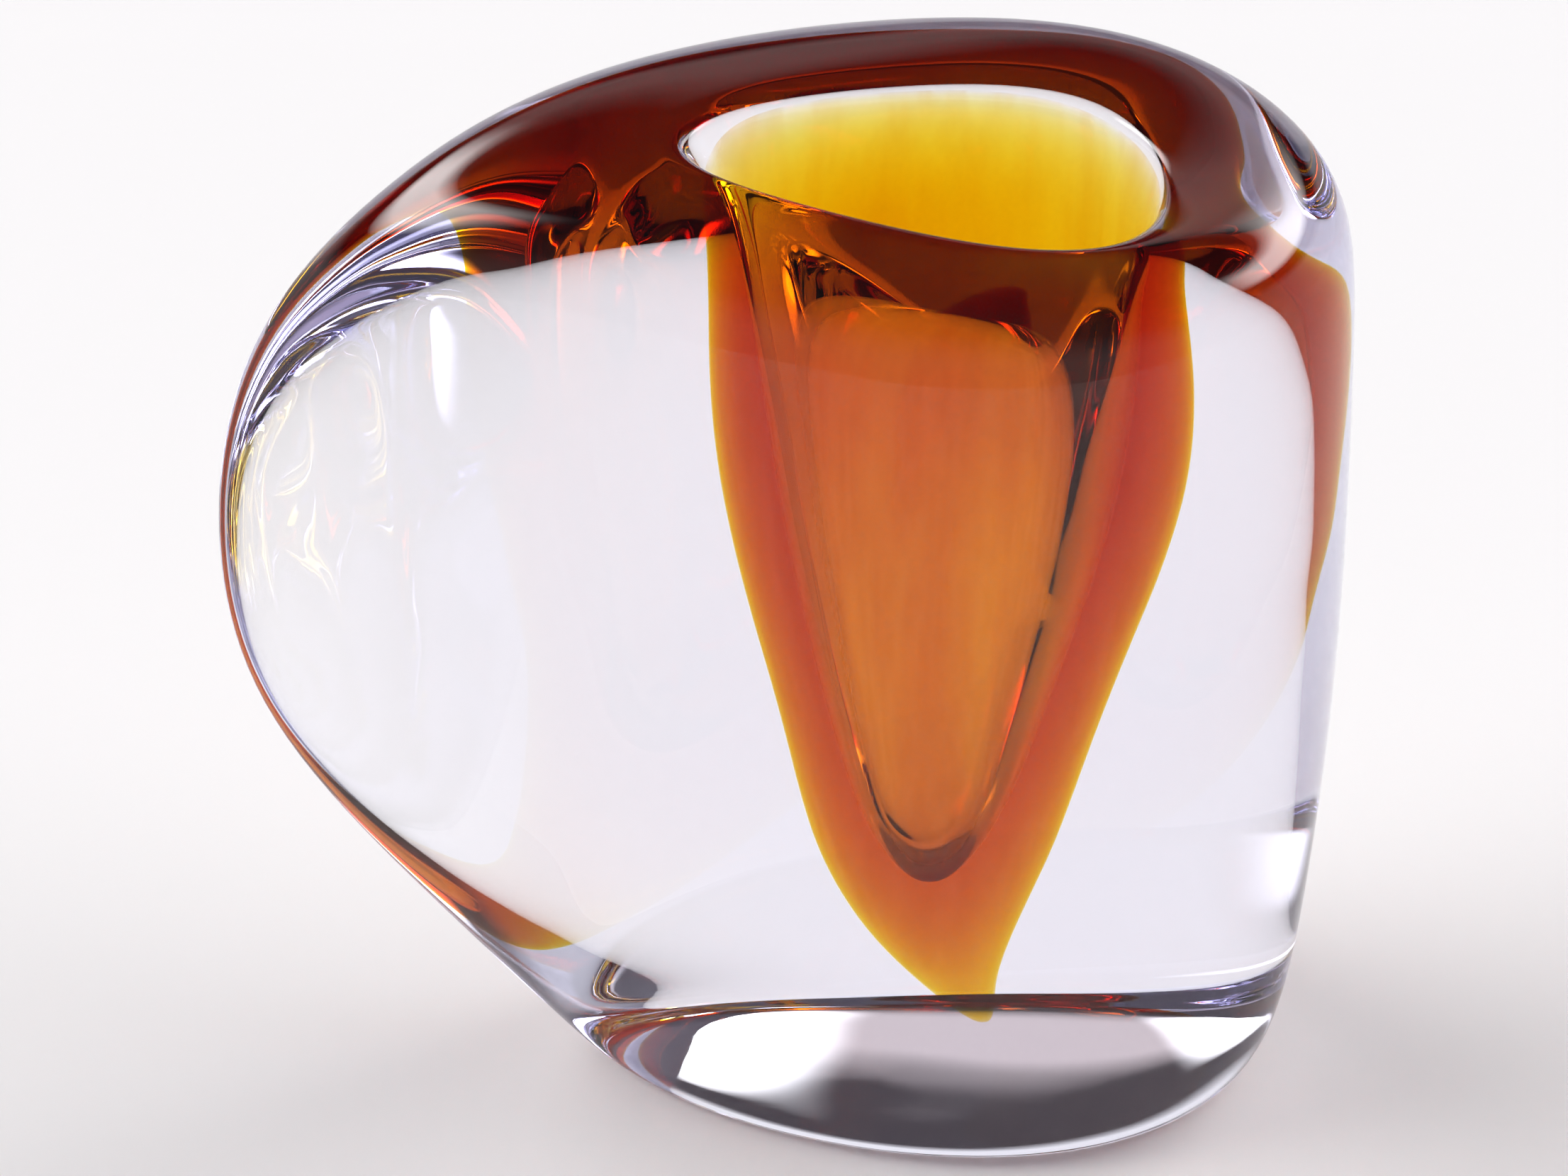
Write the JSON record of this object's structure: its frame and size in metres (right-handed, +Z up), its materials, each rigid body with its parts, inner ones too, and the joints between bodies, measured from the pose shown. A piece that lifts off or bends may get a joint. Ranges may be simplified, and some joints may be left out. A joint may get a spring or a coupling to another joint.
{
  "type": "bud vase",
  "caption": "Heavy leaning glass bud vase with a teardrop amber core around a tapering cavity, open at a small pointed mouth.",
  "frame": {"origin": "middle of the flat base, on the surface the vase stands on", "axes": "+Z up; -Y is the broad front face that the mouth sits nearer to; the body's bulge leans out to -X"},
  "size_m": [0.1287, 0.0622, 0.1222],
  "materials": {
    "clear_glass": "fire polished, clear",
    "amber_glass": "fire polished, transparent amber"
  },
  "bodies": {
    "root": {"clear_glass_casing": "clear_glass", "amber_glass_core": "amber_glass"}
  },
  "joints": []
}
